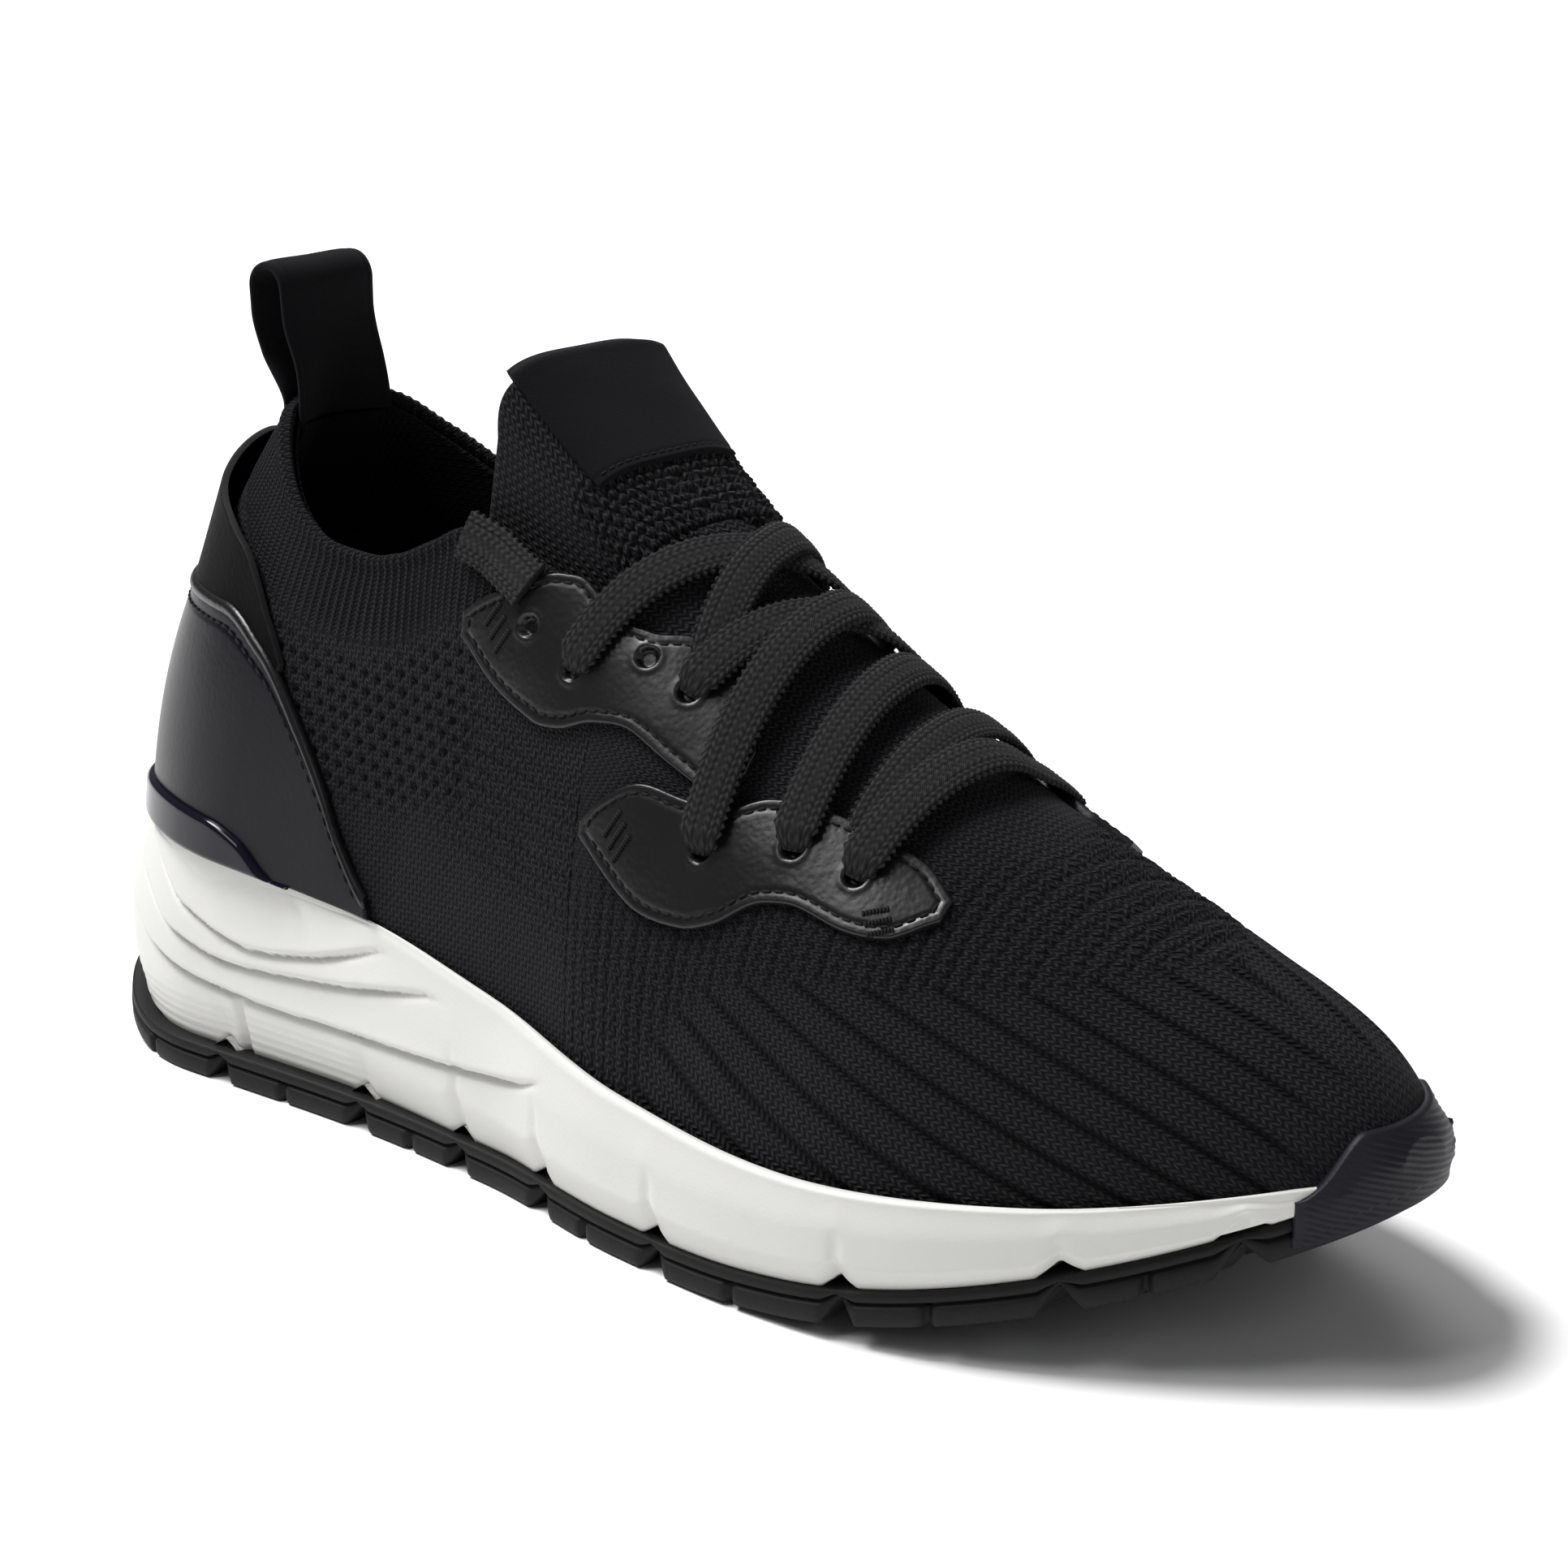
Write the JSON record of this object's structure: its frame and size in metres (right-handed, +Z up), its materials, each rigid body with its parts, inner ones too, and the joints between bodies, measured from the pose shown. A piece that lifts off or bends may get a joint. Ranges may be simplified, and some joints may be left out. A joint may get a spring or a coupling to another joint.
{
  "type": "running shoe",
  "caption": "Low knitted running shoe for the right foot, with a moulded foam sole, rubber tread, leather eyestays, flat laces and a heel pull loop.",
  "frame": {"origin": "centre of the shoe's box, on the ground under the tread", "axes": "+X to the toe, +Y to the medial side, +Z up"},
  "size_m": [0.3, 0.1036, 0.1601],
  "materials": {
    "rubber_sole": "charcoal moulded rubber",
    "foam_white": "off-white moulded foam",
    "rubber_bumper": "dark grey ribbed rubber",
    "board": "stitched fibre board",
    "insole_foam": "black fabric-faced foam",
    "knit": "black engineered knit",
    "stiffener": "thermoformed sheet",
    "lining": "black knitted lining",
    "suede": "near-black suede",
    "leather": "black satin leather",
    "leather_edge": "rolled leather edge",
    "gloss_clip": "glossy dark plastic",
    "webbing": "flat braided polyester"
  },
  "bodies": {
    "shoe": {"outsole": "rubber_sole", "midsole": "foam_white", "toe_bumper": "rubber_bumper", "strobel_board": "board", "insole": "insole_foam", "knit_upper": "knit", "heel_stiffener": "stiffener", "heel_lining": "lining", "heel_lining_patch": "suede", "toe_puff": "stiffener", "heel_counter": "leather", "heel_counter_binding": "leather_edge", "heel_cuff": "leather", "heel_clip": "gloss_clip", "eyestay_lateral_upper": "leather", "eyestay_lateral_lower": "leather", "eyestay_medial_upper": "leather", "eyestay_medial_lower": "leather", "webbing_strap_lateral": "webbing", "webbing_strap_medial": "webbing", "shoelace": "webbing", "pull_loop_tails": "suede"},
    "tongue": {"tongue_flap": "knit", "tongue_pad": "insole_foam", "tongue_patch": "suede"},
    "loop": {"pull_loop": "suede"}
  },
  "joints": [
    {"name": "tongue_flex", "type": "hinge", "parent": "shoe", "child": "tongue", "pos_m": [0.0015, 0, 0.119], "axis": [0, 1, 0], "range_deg": [-8, 18], "stiffness_Nm_per_rad": 0.3},
    {"name": "pull_loop_swing", "type": "hinge", "parent": "shoe", "child": "loop", "pos_m": [-0.1035, 0, 0.136], "axis": [0, 1, 0], "range_deg": [-20, 20], "stiffness_Nm_per_rad": 0.06}
  ]
}
